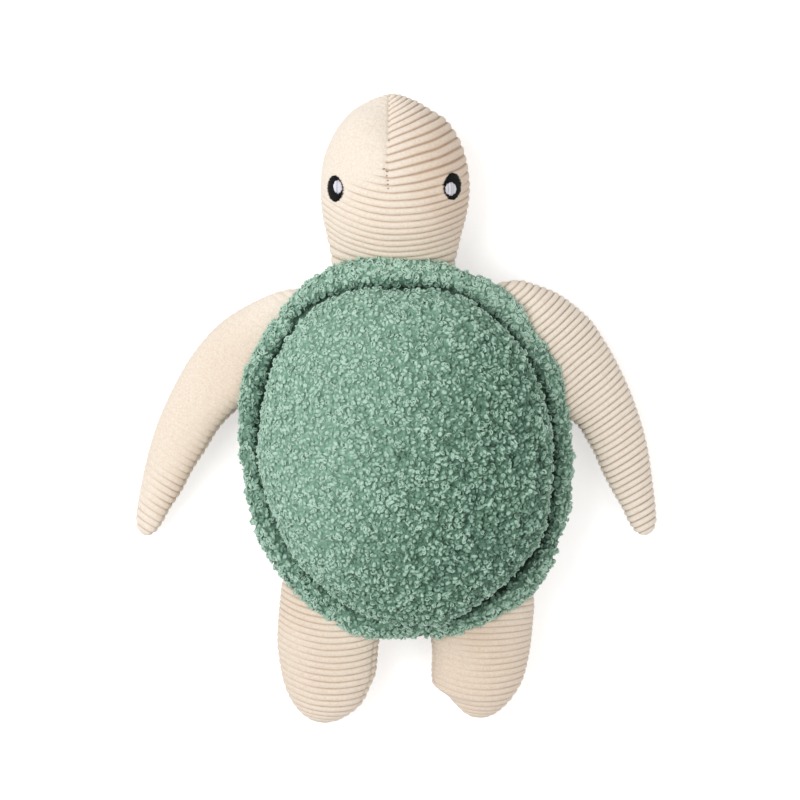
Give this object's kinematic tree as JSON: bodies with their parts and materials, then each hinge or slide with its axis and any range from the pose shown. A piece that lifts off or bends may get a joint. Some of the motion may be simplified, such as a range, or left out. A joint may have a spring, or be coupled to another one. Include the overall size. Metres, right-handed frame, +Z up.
{
  "type": "turtle dog toy",
  "caption": "Stuffed turtle dog toy with a domed boucle shell, corduroy head, flippers and feet, and a squeaker inside.",
  "frame": {"origin": "centre of the flat patch under the belly that the toy rests on", "axes": "+Y towards the head, +Z up through the shell, +X to the right seen from above with the head up"},
  "size_m": [0.2578, 0.3153, 0.08],
  "materials": {
    "green_boucle": "curled boucle pile",
    "cream_corduroy": "ribbed corduroy",
    "wadding": "loose polyester fibre",
    "black_thread": "satin stitch",
    "pale_thread": "satin stitch",
    "squeaker_plastic": "blow-moulded",
    "reed_plastic": "moulded"
  },
  "bodies": {
    "torso": {"shell_dome": "green_boucle", "shell_rim": "green_boucle", "belly_panel": "cream_corduroy", "body_filling": "wadding", "squeaker_base": "squeaker_plastic", "squeaker_reed": "reed_plastic", "squeaker_bellows": "squeaker_plastic"},
    "squeaker_button": {"squeaker_top": "squeaker_plastic"},
    "head": {"head_top_panel": "cream_corduroy", "head_chin_panel": "cream_corduroy", "head_filling": "wadding", "left_eye_ring": "black_thread", "left_eye_middle": "pale_thread", "right_eye_ring": "black_thread", "right_eye_middle": "pale_thread"},
    "left_flipper": {"left_flipper_upper": "cream_corduroy", "left_flipper_lower": "cream_corduroy", "left_flipper_filling": "wadding"},
    "right_flipper": {"right_flipper_upper": "cream_corduroy", "right_flipper_lower": "cream_corduroy", "right_flipper_filling": "wadding"},
    "left_foot": {"left_foot_upper": "cream_corduroy", "left_foot_lower": "cream_corduroy", "left_foot_filling": "wadding"},
    "right_foot": {"right_foot_upper": "cream_corduroy", "right_foot_lower": "cream_corduroy", "right_foot_filling": "wadding"}
  },
  "joints": [
    {"name": "head_nod", "type": "hinge", "parent": "torso", "child": "head", "pos_m": [0, 0.08745, 0.022], "axis": [1, 0, 0], "range_deg": [-30, 12], "stiffness_Nm_per_rad": 0.05},
    {"name": "left_flipper_flap", "type": "hinge", "parent": "torso", "child": "left_flipper", "pos_m": [-0.06581, 0.04639, 0.022], "axis": [0.4248, 0.9053, 0], "range_deg": [-40, 30], "stiffness_Nm_per_rad": 0.02},
    {"name": "right_flipper_flap", "type": "hinge", "parent": "torso", "child": "right_flipper", "pos_m": [0.06718, 0.04354, 0.022], "axis": [0.3484, -0.9373, 0], "range_deg": [-40, 30], "stiffness_Nm_per_rad": 0.02},
    {"name": "left_foot_flap", "type": "hinge", "parent": "torso", "child": "left_foot", "pos_m": [-0.03307, -0.08051, 0.022], "axis": [-0.9, 0.4358, 0], "range_deg": [-40, 30], "stiffness_Nm_per_rad": 0.02},
    {"name": "right_foot_flap", "type": "hinge", "parent": "torso", "child": "right_foot", "pos_m": [0.03307, -0.08051, 0.022], "axis": [-0.9, -0.4358, 0], "range_deg": [-40, 30], "stiffness_Nm_per_rad": 0.02},
    {"name": "squeaker_press", "type": "slide", "parent": "torso", "child": "squeaker_button", "axis": [0, 0, -1], "range_m": [0, 0.012], "stiffness_N_per_m": 150, "deforming": ["squeaker_bellows"]}
  ]
}
